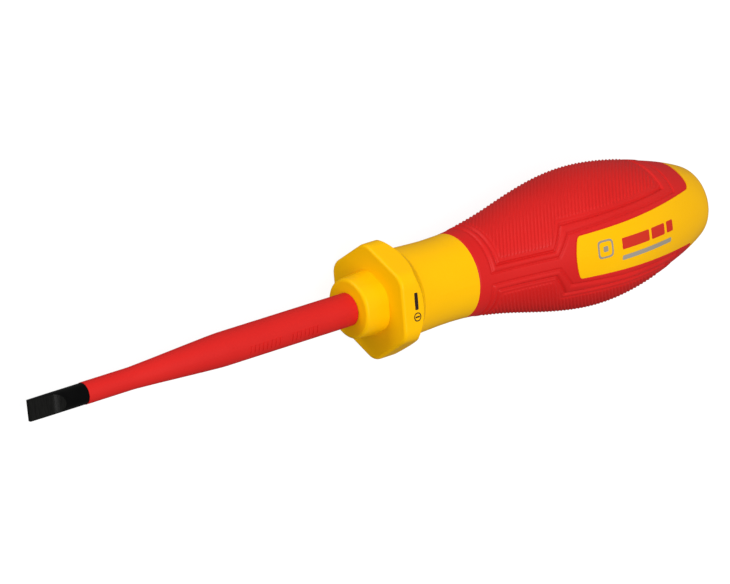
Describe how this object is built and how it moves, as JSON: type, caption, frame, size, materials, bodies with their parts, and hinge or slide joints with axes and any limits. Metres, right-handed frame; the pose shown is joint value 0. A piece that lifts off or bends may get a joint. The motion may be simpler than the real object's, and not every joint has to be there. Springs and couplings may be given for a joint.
{
  "type": "insulated screwdriver",
  "caption": "Slotted insulated screwdriver: steel blade in a moulded sleeve, hard handle with hexagonal anti-roll collar, soft ribbed overmould grip with smooth windows.",
  "frame": {"origin": "centre of the flat end face of the blade's slotted tip", "axes": "+X along the shaft from the tip to the butt, +Z out of one smooth window of the grip and square to the blade's ground flats, +Y across the blade's width"},
  "size_m": [0.2246, 0.0378, 0.0378],
  "materials": {
    "blade_steel": "black burnished",
    "sleeve_plastic": "moulded, semi-gloss",
    "core_plastic": "moulded, matte",
    "shell_plastic": "moulded, semi-gloss",
    "grip_plastic": "soft-touch overmould",
    "print_ink": "pad-printed ink"
  },
  "bodies": {
    "root": {"blade": "blade_steel", "blade_insulation": "sleeve_plastic", "handle_core": "core_plastic", "handle_shell": "shell_plastic", "soft_grip": "grip_plastic"}
  },
  "joints": []
}
